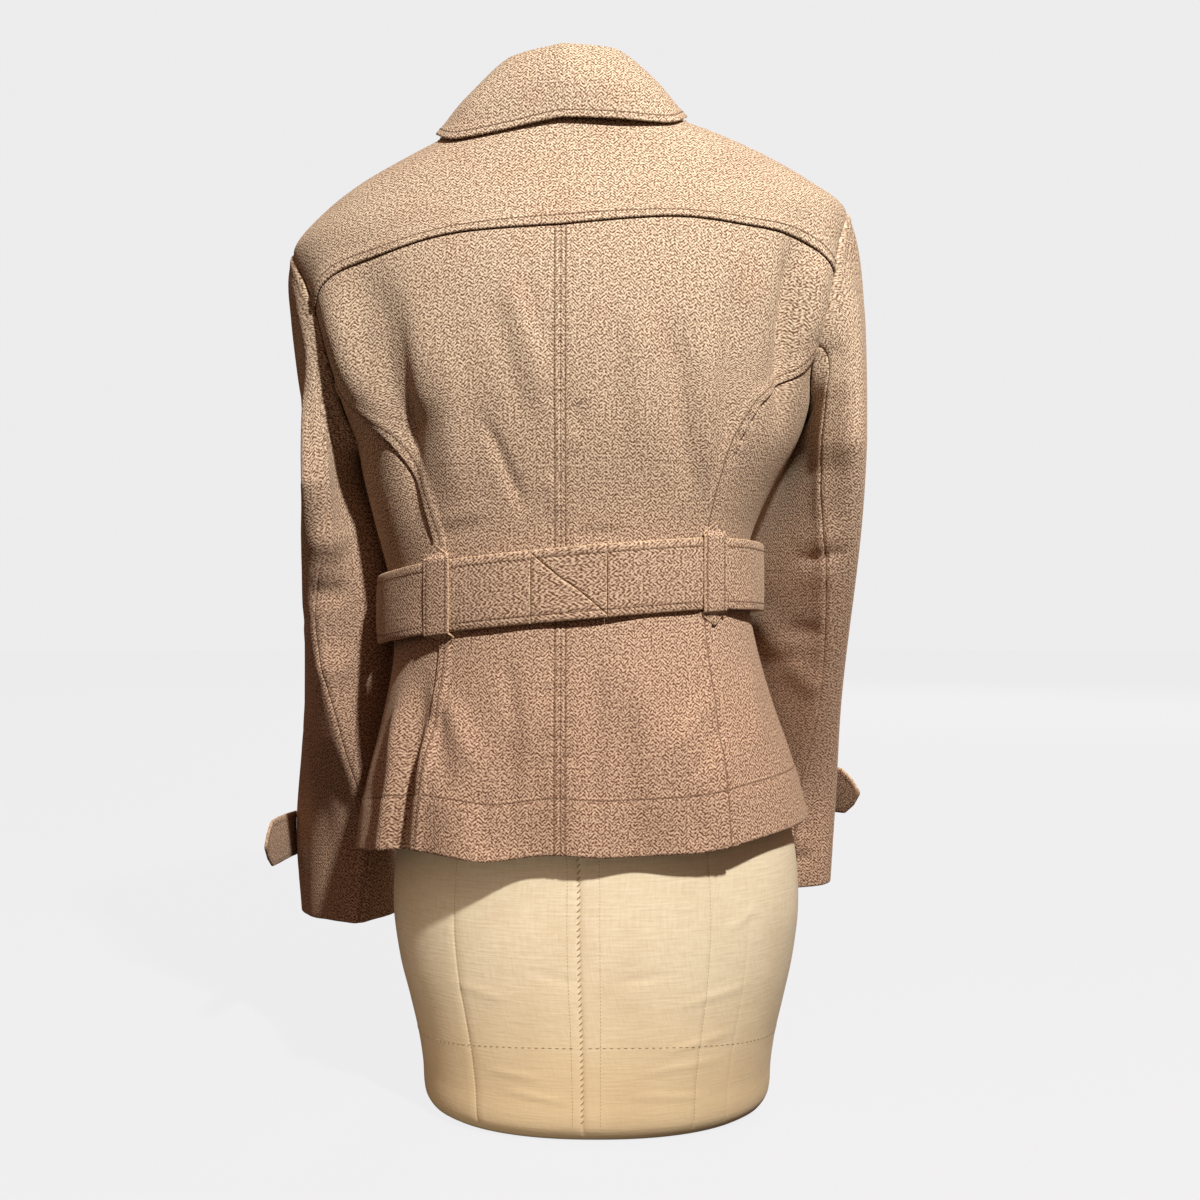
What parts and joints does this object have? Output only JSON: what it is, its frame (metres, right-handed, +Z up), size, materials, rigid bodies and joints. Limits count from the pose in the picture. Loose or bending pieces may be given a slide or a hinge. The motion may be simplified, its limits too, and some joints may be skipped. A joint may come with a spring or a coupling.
{
  "type": "belted jacket on a dress form",
  "caption": "Short belted tweed jacket with back yoke, turned-down collar, belt loops and cuff tabs, worn on a limbless canvas dress form.",
  "frame": {"origin": "centre of the dress form's flat base, on the surface it stands on", "axes": "+Z up; the jacket's back faces -Y and its front faces +Y, so the wearer's right is +X"},
  "size_m": [0.5026, 0.294, 0.8188],
  "materials": {
    "tweed": "fine herringbone wool tweed, matt with a soft nap",
    "horn": "dark brown horn-like plastic, satin",
    "canvas": "cream cotton canvas, matt, slightly aged",
    "wood_cap": "turned brown wood, satin"
  },
  "bodies": {
    "root": {"back_left": "tweed", "back_right": "tweed", "side_left": "tweed", "side_right": "tweed", "front_left": "tweed", "front_right": "tweed", "yoke": "tweed", "collar_stand": "tweed", "collar_fall": "tweed", "sleeve_left_upper": "tweed", "sleeve_left_under": "tweed", "sleeve_right_upper": "tweed", "sleeve_right_under": "tweed", "tab_left": "tweed", "tab_right": "tweed", "belt_left": "tweed", "belt_right": "tweed", "belt_block_upper": "tweed", "belt_block_lower": "tweed", "loop_left": "tweed", "loop_right": "tweed", "buckle": "horn", "button_1": "horn", "button_2": "horn", "button_3": "horn", "button_4": "horn", "form_torso": "canvas", "form_neck_cap": "wood_cap"}
  },
  "joints": []
}
